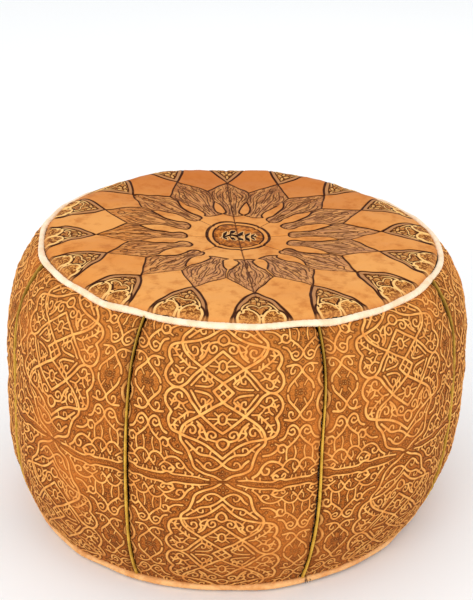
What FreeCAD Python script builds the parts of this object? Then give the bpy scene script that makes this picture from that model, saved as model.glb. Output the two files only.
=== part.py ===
"""A round leather pouf: tooled top and side panels sewn with welts and piping over a stuffed bag, with a zip
underneath. Millimetres, +Z up, origin on the floor under the pouf's centre. The front is towards -Y."""

import FreeCAD, Part
import math
import os
import re

import Sketcher

SIZES = {
    # leather
    "leather": 1.8,
    "bottomleather": 2.4,
    # side wall, seen as half of a section: bottom rim, widest point, shoulder and top rim
    "bottomrimradius": 224,
    "bottomrimheight": 6,
    "hemproud": 1,
    "widestradius": 250,
    "widestheight": 130,
    "shoulderradius": 246.5,
    "shoulderheight": 238,
    "rimradius": 212,
    "rimheight": 298,
    "rimslope": 56,
    "wallendradius": 215.2,
    "wallendheight": 295.2,
    "lowerbend": 313,
    "middlebend": 1680,
    "shoulderbend": 79,
    # domed top
    "crownheight": 312,
    "crownbend": 1950,
    "topedge": 208.6,
    "topedgeheight": 300.8,
    "topedgedrop": 1.8,
    "topedgeturn": 1,
    # panels and the trims between them
    "panelcount": 8,
    "sideseam": 19.5,
    "topseam": 5.1,
    "weltwidth": 3.6,
    "weltproud": 1.6,
    "pipingradius": 4.2,
    "pipingbore": 2.7,
    "pipingcord": 2.6,
    # bottom panels
    "bottomedge": 219.5,
    "turnupheight": 9,
    "turnupbend": 6,
    "slothalf": 158,
    "slotside": 7,
    "hemwidth": 8,
    "hemheight": 3,
    # zip
    "tapehalf": 163,
    "tapeside": 17,
    "tapegap": 1.2,
    "tapethickness": 0.6,
    "chainhalf": 136.5,
    "coilgap": 0.8,
    "coilwidth": 2.2,
    "coilheight": 1.9,
    "stoplength": 3,
    "zipclearance": 0.4,
    # slider, with its bail, and pull
    "sliderrest": 130,
    "sliderhalf": 6,
    "sliderside": 4.4,
    "slidercorner": 1.6,
    "platethickness": 0.8,
    "flangewidth": 1,
    "bridgehalf": 0.5,
    "bridgerear": 3,
    "bridgefront": 5.5,
    "bailhalf": 4,
    "bailbar": 0.8,
    "bailwidth": 1.8,
    "bailfloor": 0.3,
    "bailthickness": 0.5,
    "hingeheight": 1.55,
    "pulllength": 24,
    "pullside": 3.4,
    "pullneck": 2.6,
    "pulltaper": 3,
    "pullendbend": 3.47,
    "pullthickness": 0.9,
    "eyelength": 6.2,
    "eyeside": 1.4,
    "pullhole": 1.5,
    # stuffing
    "bagclearance": 0.4,
    "bagcloth": 1,
    "fillingclearance": 0.3,
    "crownflat": 10,
    "bagfoot": 212,
    "bagfootbend": 253,
    "bagshoulder": 205,
    "bagshoulderheight": 292,
    "bagcrownbend": 1250,
    "grooveside": 18.5,
    "groovehalf": 165,
    "grooveheight": 7.6,
}

doc = FreeCAD.newDocument("pouf")
sheet = doc.addObject("Spreadsheet::Sheet", "sizes")
for row, (alias, value) in enumerate(SIZES.items(), 1):
    sheet.set(f"A{row}", str(value))
    sheet.setAlias(f"A{row}", alias)
doc.recompute()


def rule(text):
    """A sheet formula: every size named in the text is read from the sheet."""
    return re.sub(r"[a-z]+", lambda word: "sizes." + word[0] if word[0] in SIZES else word[0], str(text))


def value_of(text):
    return float(sheet.evalExpression(rule(text)))


# ---- sketches -------------------------------------------------------------------------------------------


def side_between(start, end, bend):
    """One side of an outline, with its start and end point numbers. A positive bend is the radius of an arc
    that bulges to the right of the way from start to end, a negative one bulges to the left, and none is a
    straight."""
    if bend is None:
        return Part.LineSegment(start, end), 1, 2
    half = (end - start) / 2
    reach = math.sqrt(bend * bend - half.Length**2)
    towards = FreeCAD.Vector(-half.y, half.x, 0).normalize() * math.copysign(reach, bend)
    centre = start + half + towards
    first, last = (start, end) if bend > 0 else (end, start)
    angles = [math.atan2(point.y - centre.y, point.x - centre.x) for point in (first, last)]
    circle = Part.Circle(centre, FreeCAD.Vector(0, 0, 1), abs(bend))
    arc = Part.ArcOfCircle(circle, *angles)
    return (arc, 1, 2) if bend > 0 else (arc, 2, 1)


def bind(sketch, constraint, formula):
    index = sketch.addConstraint(constraint)
    sketch.setExpression(f"Constraints[{index}]", rule(formula))


def draw_loop(sketch, corners):
    """A closed outline. Each corner is (x formula, y formula), with the bend formula of the side that follows
    if that side is round."""
    places = [FreeCAD.Vector(value_of(c[0]), value_of(c[1]), 0) for c in corners]
    first_side = sketch.GeometryCount
    ends = []
    for i, corner in enumerate(corners):
        bend = value_of(corner[2]) if len(corner) > 2 else None
        side, start, end = side_between(places[i], places[(i + 1) % len(places)], bend)
        sketch.addGeometry(side)
        ends.append((start, end))
    for i, corner in enumerate(corners):
        side = first_side + i
        start, end = ends[i]
        following = (i + 1) % len(corners)
        joint = (side, end, first_side + following, ends[following][0])
        sketch.addConstraint(Sketcher.Constraint("Coincident", *joint))
        for kind, text, place in (("DistanceX", corner[0], places[i].x), ("DistanceY", corner[1], places[i].y)):
            bind(sketch, Sketcher.Constraint(kind, -1, 1, side, start, place), text)
        if len(corner) > 2:
            bend = value_of(corner[2])
            size = corner[2] if bend > 0 else f"-({corner[2]})"
            bind(sketch, Sketcher.Constraint("Radius", side, abs(bend)), size)


def draw_circle(sketch, x, y, radius):
    centre = FreeCAD.Vector(value_of(x), value_of(y), 0)
    circle = sketch.addGeometry(Part.Circle(centre, FreeCAD.Vector(0, 0, 1), value_of(radius)))
    bind(sketch, Sketcher.Constraint("DistanceX", -1, 1, circle, 3, centre.x), x)
    bind(sketch, Sketcher.Constraint("DistanceY", -1, 1, circle, 3, centre.y), y)
    bind(sketch, Sketcher.Constraint("Radius", circle, value_of(radius)), radius)


def new_body(label, turn=0, x="0"):
    body = doc.addObject("PartDesign::Body", label)
    body.Label = label
    body.Placement = FreeCAD.Placement(FreeCAD.Vector(), FreeCAD.Rotation(FreeCAD.Vector(0, 0, 1), turn))
    body.setExpression("Placement.Base.x", rule(x))
    return body


def new_sketch(body, plane, offset="0"):
    """A sketch on one of the body's own origin planes, raised along that plane's normal."""
    sketch = body.newObject("Sketcher::SketchObject", body.Name + "_sketch")
    origin_plane = next(f for f in body.Origin.OriginFeatures if f.Role == plane)
    sketch.AttachmentSupport = (origin_plane, [""])
    sketch.MapMode = "FlatFace"
    sketch.setExpression("AttachmentOffset.Base.z", rule(offset))
    return sketch


# ---- features -------------------------------------------------------------------------------------------


def revolve(body, sketch, degrees):
    """Turns a sketch about +Z by that formula's angle, half to each side of the XZ plane."""
    turned = body.newObject("PartDesign::Revolution", body.Name + "_turned")
    turned.Profile = sketch
    turned.ReferenceAxis = (sketch, ["V_Axis"])
    turned.Midplane = True
    turned.setExpression("Angle", rule(degrees))
    return turned


def slab(body, corners, floor, height):
    """A flat layer of the body: an outline in XY, from floor up by height."""
    sketch = new_sketch(body, "XY_Plane", floor)
    draw_loop(sketch, corners)
    pad = body.newObject("PartDesign::Pad", body.Name + "_slab")
    pad.Profile = sketch
    pad.setExpression("Length", rule(height))
    return pad


def cut_up(body, corners, height):
    """A pocket cut into the body from z = 0 upwards."""
    sketch = new_sketch(body, "XY_Plane")
    draw_loop(sketch, corners)
    pocket = body.newObject("PartDesign::Pocket", body.Name + "_cut")
    pocket.Profile = sketch
    pocket.Reversed = True
    pocket.setExpression("Length", rule(height))
    return pocket


def rectangle(left, right, low, high):
    return [(left, low), (right, low), (right, high), (left, high)]


def block(label, left, front, floor, length, width, height):
    box = doc.addObject("Part::Box", label)
    box.Label = label
    for name, text in (("Length", length), ("Width", width), ("Height", height)):
        box.setExpression(name, rule(text))
    for name, text in (("x", left), ("y", front), ("z", floor)):
        box.setExpression("Placement.Base." + name, rule(text))
    return box


# ---- leather cover --------------------------------------------------------------------------------------


def wall_section(outside):
    """Half a section of the side wall: up its outer face, which stands proud of the panels by outside, and back
    down its inner face. The upper end is cut square to the leather."""
    across, up = "cos(rimslope)", "sin(rimslope)"
    return [
        (f"bottomrimradius + hemproud + {outside}", "bottomrimheight + pipingradius", f"lowerbend + {outside}"),
        (f"widestradius + {outside}", "widestheight", f"middlebend + {outside}"),
        (f"shoulderradius + {outside}", "shoulderheight", f"shoulderbend + {outside}"),
        (f"wallendradius + {across} * {outside}", f"wallendheight + {up} * {outside}"),
        (f"wallendradius - {across} * leather", f"wallendheight - {up} * leather", "-(shoulderbend - leather)"),
        ("shoulderradius - leather", "shoulderheight", "-(middlebend - leather)"),
        ("widestradius - leather", "widestheight", "-(lowerbend - leather)"),
        ("bottomrimradius + hemproud - leather", "bottomrimheight + pipingradius"),
    ]


WELT_ANGLE = "weltwidth / widestradius * 180 / pi"


def wall_piece(label, turn, outside, degrees):
    body = new_body(label, turn)
    sketch = new_sketch(body, "XZ_Plane")
    draw_loop(sketch, wall_section(outside))
    revolve(body, sketch, degrees)
    return body


def side_panels_and_welts():
    """The side wall: one panel per share of the circle, and a welt in the gap at each seam."""
    share = 360 / value_of("panelcount")
    pieces = []
    for i in range(int(value_of("panelcount"))):
        seam = value_of("sideseam") - 90 + i * share
        panel = wall_piece(f"side_panel_{i + 1}", seam + share / 2, "0", f"360 / panelcount - {WELT_ANGLE}")
        welt = wall_piece(f"seam_welt_{i + 1}", seam, "weltproud", WELT_ANGLE)
        pieces += [panel, welt]
    return pieces


def top_panels():
    """The domed top: wedge-shaped panels that meet at the crown and end against the piping."""
    share = 360 / value_of("panelcount")
    section = [
        ("0", "crownheight - leather", "-(crownbend - leather)"),
        ("topedge - topedgeturn", "topedgeheight - topedgedrop"),
        ("topedge", "topedgeheight", "crownbend"),
        ("0", "crownheight"),
    ]
    pieces = []
    for i in range(int(value_of("panelcount"))):
        turn = value_of("topseam") - 90 + (i + 0.5) * share
        body = new_body(f"top_panel_{i + 1}", turn)
        sketch = new_sketch(body, "XZ_Plane")
        draw_loop(sketch, section)
        revolve(body, sketch, "360 / panelcount")
        pieces.append(body)
    return pieces


def ring(label, radius, height, outer, bore=None):
    """A ring about the Z axis with a round section, hollow where it has a bore."""
    body = new_body(label)
    sketch = new_sketch(body, "XZ_Plane")
    draw_circle(sketch, radius, height, outer)
    if bore:
        draw_circle(sketch, radius, height, bore)
    revolve(body, sketch, "360")
    return body


def pipings():
    """A leather tube sewn round each rim, with a cotton cord inside it."""
    pieces = []
    for name, radius, height in (
        ("top_piping", "rimradius", "rimheight"),
        ("bottom_piping", "bottomrimradius", "bottomrimheight"),
    ):
        pieces.append(ring(name, radius, height, "pipingradius", "pipingbore"))
        pieces.append(ring(name + "_cord", radius, height, "pipingcord"))
    return pieces


def bottom_panel(label, turn):
    """Half of the flat bottom, turned up at the rim, with a hemmed notch along the zip. The zip runs along the
    body's own Y axis, at its straight edge."""
    body = new_body(label, turn)
    sketch = new_sketch(body, "XZ_Plane")
    draw_loop(
        sketch,
        [
            ("0", "0"),
            ("bottomedge - turnupbend", "0", "turnupbend"),
            ("bottomedge", "turnupbend"),
            ("bottomedge", "turnupheight"),
            ("bottomedge - leather", "turnupheight"),
            ("bottomedge - leather", "bottomleather"),
            ("0", "bottomleather"),
        ],
    )
    revolve(body, sketch, "180")
    cut_up(body, rectangle("-1", "slotside", "-slothalf", "slothalf"), "bottomleather")
    hem = rectangle("slotside", "slotside + hemwidth", "-slothalf", "slothalf")
    slab(body, hem, "bottomleather", "hemheight")
    return body


# ---- zip ------------------------------------------------------------------------------------------------

TAPE_FLOOR = "(bottomleather + hemheight)"
COIL_FLOOR = f"({TAPE_FLOOR} - coilheight)"
OUTER_PLATE_TOP = f"({COIL_FLOOR} - zipclearance)"
INNER_PLATE_FLOOR = f"({TAPE_FLOOR} + tapethickness + zipclearance)"


def zip_chain():
    """The tapes on the hems, a coil along the edge of each tape, and a stop at each end of the chain."""
    pieces = []
    for side, tape_front, coil_front in (
        ("front", "-tapeside", "-coilgap - coilwidth"),
        ("back", "tapegap", "coilgap"),
    ):
        tape_size = ("2 * tapehalf", "tapeside - tapegap", "tapethickness")
        coil_size = ("2 * chainhalf", "coilwidth", "coilheight")
        pieces.append(block(f"zip_tape_{side}", "-tapehalf", tape_front, TAPE_FLOOR, *tape_size))
        pieces.append(block(f"zip_coil_{side}", "-chainhalf", coil_front, COIL_FLOOR, *coil_size))
    for name, left in (("zip_top_stop", "chainhalf"), ("zip_bottom_stop", "-chainhalf - stoplength")):
        stop_size = ("stoplength", "2 * (coilgap + coilwidth)", "coilheight")
        pieces.append(block(name, left, "-coilgap - coilwidth", COIL_FLOOR, *stop_size))
    return pieces


def rounded_plate():
    """The outline of the slider's two plates: a rectangle with round corners."""
    long, short = "sliderhalf", "sliderside"
    inner_long, inner_short = "(sliderhalf - slidercorner)", "(sliderside - slidercorner)"
    return [
        (f"-{inner_long}", f"-{short}"),
        (inner_long, f"-{short}", "slidercorner"),
        (long, f"-{inner_short}"),
        (long, inner_short, "slidercorner"),
        (inner_long, short),
        (f"-{inner_long}", short, "slidercorner"),
        (f"-{long}", inner_short),
        (f"-{long}", f"-{inner_short}", "slidercorner"),
    ]


def zip_slider():
    """Two plates joined by a bridge that runs between the coils, flanges outside the coils, and a bail."""
    body = new_body("zip_slider", x="sliderrest")
    slab(body, rounded_plate(), f"{OUTER_PLATE_TOP} - platethickness", "platethickness")
    bail = new_sketch(body, "XZ_Plane")
    top = f"{OUTER_PLATE_TOP} - platethickness"
    draw_loop(
        bail,
        [
            ("-bailhalf", top),
            ("-bailhalf", "bailfloor"),
            ("bailhalf", "bailfloor"),
            ("bailhalf", top),
            ("bailhalf - bailbar", top),
            ("bailhalf - bailbar", "bailfloor + bailthickness"),
            ("bailbar - bailhalf", "bailfloor + bailthickness"),
            ("bailbar - bailhalf", top),
        ],
    )
    arch = body.newObject("PartDesign::Pad", "zip_slider_bail")
    arch.Profile = bail
    arch.Midplane = True
    arch.setExpression("Length", rule("bailwidth"))
    flange_height = f"{TAPE_FLOOR} - zipclearance - {OUTER_PLATE_TOP}"
    inner_half = "(sliderhalf - slidercorner)"
    for low, high in (("-sliderside", "flangewidth - sliderside"), ("sliderside - flangewidth", "sliderside")):
        slab(body, rectangle(f"-{inner_half}", inner_half, low, high), OUTER_PLATE_TOP, flange_height)
    bridge = rectangle("bridgerear", "bridgefront", "-bridgehalf", "bridgehalf")
    slab(body, bridge, OUTER_PLATE_TOP, f"{INNER_PLATE_FLOOR} - {OUTER_PLATE_TOP}")
    slab(body, rounded_plate(), INNER_PLATE_FLOOR, "platethickness")
    return body


def zip_pull():
    """A flat tab whose eye goes round the bail's bar. It turns about the bar at its end and lies towards -X."""
    body = new_body("zip_pull", x="sliderrest")
    sketch = new_sketch(body, "XY_Plane", "hingeheight - pullthickness / 2")
    end = "pullside - pulllength"
    bar = "pullthickness / 2"
    draw_loop(
        sketch,
        [
            (bar, "-pullneck"),
            (bar, "pullneck"),
            ("-eyelength", "pullneck"),
            ("-eyelength - pulltaper", "pullside"),
            (end, "pullside", "pullendbend"),
            (end, "-pullside"),
            ("-eyelength - pulltaper", "-pullside"),
            ("-eyelength", "-pullneck"),
        ],
    )
    draw_loop(sketch, rectangle("-eyelength", f"-{bar}", "-eyeside", "eyeside"))
    draw_circle(sketch, end, "0", "pullhole")
    pad = body.newObject("PartDesign::Pad", "zip_pull_tab")
    pad.Profile = sketch
    pad.setExpression("Length", rule("pullthickness"))
    return body


# ---- stuffing -------------------------------------------------------------------------------------------


def stuffed_form(label, inset):
    """The space inside the cover, smaller all round by inset, with a groove underneath that clears the zip."""
    body = new_body(label)
    sketch = new_sketch(body, "XZ_Plane")
    draw_loop(
        sketch,
        [
            ("0", f"bottomleather + {inset}"),
            (f"bagfoot - {inset}", f"bottomleather + {inset}", "bagfootbend"),
            (f"widestradius - leather - {inset}", "widestheight", "middlebend"),
            (f"shoulderradius - leather - {inset}", "shoulderheight", "shoulderbend"),
            (f"bagshoulder - {inset}", f"bagshoulderheight - {inset}", "bagcrownbend"),
            ("crownflat", f"crownheight - leather - {inset}"),
            ("0", f"crownheight - leather - {inset}"),
        ],
    )
    revolve(body, sketch, "360")
    half, side = f"(groovehalf + {inset})", f"(grooveside + {inset})"
    cut_up(body, rectangle(f"-{half}", half, f"-{side}", side), f"grooveheight + {inset}")
    return body


def stuffing():
    """A cotton bag inside the cover, and the filling inside the bag."""
    bag = doc.addObject("Part::Cut", "inner_bag")
    bag.Label = "inner_bag"
    bag.Base = stuffed_form("bag_outside", "bagclearance")
    bag.Tool = stuffed_form("bag_inside", "(bagclearance + bagcloth)")
    return [bag, stuffed_form("filling", "(bagclearance + bagcloth + fillingclearance)")]


# ---- build and export -----------------------------------------------------------------------------------


def main():
    pieces = top_panels() + side_panels_and_welts() + pipings()
    pieces += [bottom_panel("bottom_panel_back", 90), bottom_panel("bottom_panel_front", -90)]
    pieces += zip_chain() + [zip_slider(), zip_pull()] + stuffing()
    doc.recompute()
    failed = [thing.Label for thing in doc.Objects if {"Invalid", "Error"} & set(thing.State)]
    for piece in pieces:
        if piece.Shape.isNull() or not piece.Shape.isValid():
            failed.append(piece.Label)
    if failed:
        raise RuntimeError("these objects failed: " + ", ".join(sorted(set(failed))))
    os.makedirs("parts", exist_ok=True)
    for piece in pieces:
        piece.Shape.exportStep(f"parts/{piece.Label}.step")
        volume = piece.Shape.Volume / 1000
        print(f"{piece.Label:22s} solids {len(piece.Shape.Solids)}  volume {volume:10.3f} cm3")


main()
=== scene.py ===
"""A round stuffed leather pouf: tooled top, embossed sides, welts, pipings and a zip closure underneath.

Lengths are in millimetres until a mesh is made. Angles run from +X towards +Y.
"""
import math

import bpy
import numpy as np
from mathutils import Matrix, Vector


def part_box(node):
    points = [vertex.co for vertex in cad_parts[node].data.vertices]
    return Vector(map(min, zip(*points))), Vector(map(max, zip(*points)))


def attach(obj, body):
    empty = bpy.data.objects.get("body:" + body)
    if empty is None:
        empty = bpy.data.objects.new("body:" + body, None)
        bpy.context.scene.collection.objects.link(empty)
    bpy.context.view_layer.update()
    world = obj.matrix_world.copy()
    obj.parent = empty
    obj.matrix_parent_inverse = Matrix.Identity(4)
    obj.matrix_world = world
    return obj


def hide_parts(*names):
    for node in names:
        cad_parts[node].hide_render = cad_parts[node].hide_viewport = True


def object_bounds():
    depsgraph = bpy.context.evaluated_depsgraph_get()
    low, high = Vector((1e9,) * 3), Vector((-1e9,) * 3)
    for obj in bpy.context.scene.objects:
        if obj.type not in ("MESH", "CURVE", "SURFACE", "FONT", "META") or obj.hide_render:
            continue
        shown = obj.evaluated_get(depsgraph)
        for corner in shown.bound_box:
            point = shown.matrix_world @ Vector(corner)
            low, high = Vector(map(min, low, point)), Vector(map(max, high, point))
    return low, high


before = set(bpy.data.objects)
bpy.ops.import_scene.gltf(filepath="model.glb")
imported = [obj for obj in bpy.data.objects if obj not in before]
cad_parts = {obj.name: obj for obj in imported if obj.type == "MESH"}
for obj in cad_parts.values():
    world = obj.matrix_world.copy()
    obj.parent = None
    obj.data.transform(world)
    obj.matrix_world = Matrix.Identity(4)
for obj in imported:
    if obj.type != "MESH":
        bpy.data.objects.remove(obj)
cad_bounds = [list(corner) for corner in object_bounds()]

MM = 0.001
TURN = 2 * math.pi
PANELS = 8
SECTOR = TURN / PANELS


# --- what the frame says ---

def vertices(node):
    """The CAD node's vertices in millimetres."""
    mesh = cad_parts[node].data
    flat = np.empty(len(mesh.vertices) * 3)
    mesh.vertices.foreach_get("co", flat)
    return flat.reshape(-1, 3) / MM


def bearing(node):
    """The angle at which a CAD node stands round the axis."""
    x, y, _ = vertices(node).mean(0)
    return math.atan2(y, x)


def box(node):
    low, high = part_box(node)
    return np.array(low) / MM, np.array(high) / MM


WIDEST = cad_bounds[1][0] / MM
CROWN = box("top_panel_1")[1][2]
RIM = np.hypot(*vertices("top_panel_1")[:, :2].T).max()
PIPE = (box("top_piping")[1][2] - box("top_piping")[0][2]) / 2
TOP_PIPE_R = box("top_piping")[1][0] - PIPE
TOP_PIPE_Z = box("top_piping")[1][2] - PIPE
LOW_PIPE_R = box("bottom_piping")[1][0] - PIPE
LOW_PIPE_Z = box("bottom_piping")[1][2] - PIPE
FOOT_R = LOW_PIPE_R - 4.0
# Heights of the widest place, and of the edge where the side meets the top
WAIST = 130.0
RIM_TOP = TOP_PIPE_Z + 2.7
FIRST_WELT = bearing("seam_welt_1")
FIRST_TOP = bearing("top_panel_1") - SECTOR / 2


# --- the stuffed shape ---

def side_radius(z):
    """The side bellies out slowly from the floor and turns in fast at the top rim."""
    low_curve, high_curve = 2.63, 4.7
    z = np.asarray(z, float)
    low = np.clip((WAIST - z) / (WAIST - LOW_PIPE_Z), 0, 1.2)
    high = np.clip((z - WAIST) / (RIM_TOP - WAIST), 0, 1.2)
    return WIDEST - (WIDEST - FOOT_R) * low**low_curve - (WIDEST - TOP_PIPE_R) * high**high_curve


def crown_height(r, angle):
    """The top dips a little in the middle, with a stuffed ring inside the rim that is fuller at the back."""
    peak, dip, rim_drop = CROWN - 4.3, 5.0, 6.0
    back = np.clip(np.sin(angle), 0, 1) ** 1.3
    ring = (2.6 + 5.4 * back) * np.exp(-(((r - 184 + 4 * back) / 17) ** 2))
    return peak - dip * (1 - soft_step(r, 10, 140)) - rim_drop * soft_step(r, 150, 207) + ring


def settled(points):
    """The whole body leans a little to the right and its top sits slightly askew, as stuffed leather does."""
    tilt_back, tilt_right = math.tan(math.radians(2.0)), math.tan(math.radians(1.6))
    back_drop, corner_lift, foot_lift, lean, right_bulge = 8.0, 2.5, 8.0, 13.0, 3.0
    p = np.array(points, float)
    x, y, z = p[..., 0], p[..., 1], p[..., 2]
    share = np.clip(z / RIM_TOP, 0, 1.1)
    r = np.hypot(x, y)
    back = np.clip(y / np.maximum(r, 1), 0, 1) ** 2
    z -= back_drop * back * soft_step(z, 190, 296) * soft_step(r, 188, 210)
    # the back left corner is fuller and higher
    corner = np.clip(-x, 0, None) * np.clip(y, 0, None) * 2 / np.maximum(r, 1) ** 2
    p[..., :2] *= 1 - (0.004 - 0.02 * corner[..., None]) * share[..., None]
    z += corner_lift * corner * soft_step(z, 200, 296)
    z += share * (tilt_back * y - tilt_right * x)
    # the foot lifts off the floor to the right, and the side bulges there
    foot = np.clip(1 - z / 110, 0, 1) ** 2
    right = np.clip(x / WIDEST, 0, 1)
    z += foot_lift * foot * right**2
    x += share * lean + right_bulge * right * np.exp(-(((z - 140) / 50) ** 2))
    return p


def polar(r, angle, z):
    return np.stack([r * np.cos(angle), r * np.sin(angle), z + 0 * r * angle], -1)


def normals_of(points):
    """Unit normals of a grid of points, from its two directions."""
    way = np.cross(np.gradient(points, axis=1), np.gradient(points, axis=0))
    return way / np.maximum(np.linalg.norm(way, axis=-1, keepdims=True), 1e-9)


def lumps(x, y, size, seed, count=7):
    """Soft uneven bumps about as wide as size, between roughly -1 and 1."""
    draw = np.random.default_rng(seed)
    total = np.zeros(np.broadcast(x, y).shape)
    for _ in range(count):
        heading, phase = draw.uniform(0, TURN, 2)
        pitch = TURN / (size * draw.uniform(0.7, 1.7))
        total += np.sin(pitch * (x * math.cos(heading) + y * math.sin(heading)) + phase)
    return total / math.sqrt(count)


def soft_step(value, low, high):
    t = np.clip((value - low) / (high - low), 0, 1)
    return t * t * (3 - 2 * t)


# --- tooled and embossed patterns ---

# Spacing of a field's grid, and the largest distance that it holds
STEP = 0.25
REACH = 5.0


def smooth(points, parts=6):
    """A Catmull-Rom curve through the points."""
    p = np.array(points, float)
    if len(p) < 3:
        return p
    q = np.vstack([2 * p[0] - p[1], p, 2 * p[-1] - p[-2]])
    t = np.linspace(0, 1, parts, endpoint=False)[:, None]
    out = []
    for a, b, c, d in zip(q, q[1:], q[2:], q[3:]):
        bend = (2 * a - 5 * b + 4 * c - d) * t**2
        twist = (3 * b - a - 3 * c + d) * t**3
        out.append(0.5 * (2 * b + (c - a) * t + bend + twist))
    return np.vstack(out + [p[-1:]])


class Field:
    """Distances in millimetres on a fine grid: to drawn strokes, less their half width."""

    def __init__(self, low, high):
        self.x = np.arange(low[0] - REACH, high[0] + REACH, STEP)
        self.y = np.arange(low[1] - REACH, high[1] + REACH, STEP)
        self.gap = np.full((len(self.x), len(self.y)), REACH)

    def segment(self, start, end, half_width):
        low = np.minimum(start, end) - REACH
        high = np.maximum(start, end) + REACH
        i = slice(*np.searchsorted(self.x, (low[0], high[0])))
        j = slice(*np.searchsorted(self.y, (low[1], high[1])))
        x, y = self.x[i][:, None] - start[0], self.y[j][None] - start[1]
        way = end - start
        t = np.clip((x * way[0] + y * way[1]) / max(way @ way, 1e-9), 0, 1)
        gap = np.hypot(x - t * way[0], y - t * way[1]) - half_width
        np.minimum(self.gap[i, j], gap, out=self.gap[i, j])

    def stroke(self, half_width, points, curved=True):
        way = smooth(points) if curved else np.array(points, float)
        for start, end in zip(way, way[1:]):
            self.segment(start, end, half_width)

    def dot(self, half_width, point):
        self.segment(np.array(point, float), np.array(point, float), half_width)

    def negate_inside(self, outline):
        """Makes the distance negative within a closed outline."""
        x, y = np.meshgrid(self.x, self.y, indexing="ij")
        odd = np.zeros(x.shape, bool)
        for (x1, y1), (x2, y2) in zip(outline, np.roll(outline, -1, 0)):
            if y1 != y2:
                crosses = (y1 > y) != (y2 > y)
                odd ^= crosses & (x < (x2 - x1) * (y - y1) / (y2 - y1) + x1)
        self.gap[odd] *= -1

    def at(self, x, y):
        """The distance at any places, between the grid's values."""
        u, v = (x - self.x[0]) / STEP, (y - self.y[0]) / STEP
        i = np.clip(u.astype(int), 0, len(self.x) - 2)
        j = np.clip(v.astype(int), 0, len(self.y) - 2)
        a, b = np.clip(u - i, 0, 1), np.clip(v - j, 0, 1)
        left = (1 - b) * self.gap[i, j] + b * self.gap[i, j + 1]
        right = (1 - b) * self.gap[i + 1, j] + b * self.gap[i + 1, j + 1]
        return (1 - a) * left + a * right


def fold(value, half):
    """Mirrors a coordinate into one half of its repeat."""
    value = np.abs(value) % (2 * half)
    return np.where(value > half, 2 * half - value, value)


# A quarter of the sides' repeat as it is drawn, and half the width that it takes up on the leather
CELL_X, CELL_Y = 78.0, 98.0
HALF_REPEAT = 73.0
SQUEEZE_FROM = 57.0
# Half widths of its strokes
BAND, SPRIG, VEIN = 1.35, 1.05, 0.9

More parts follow.
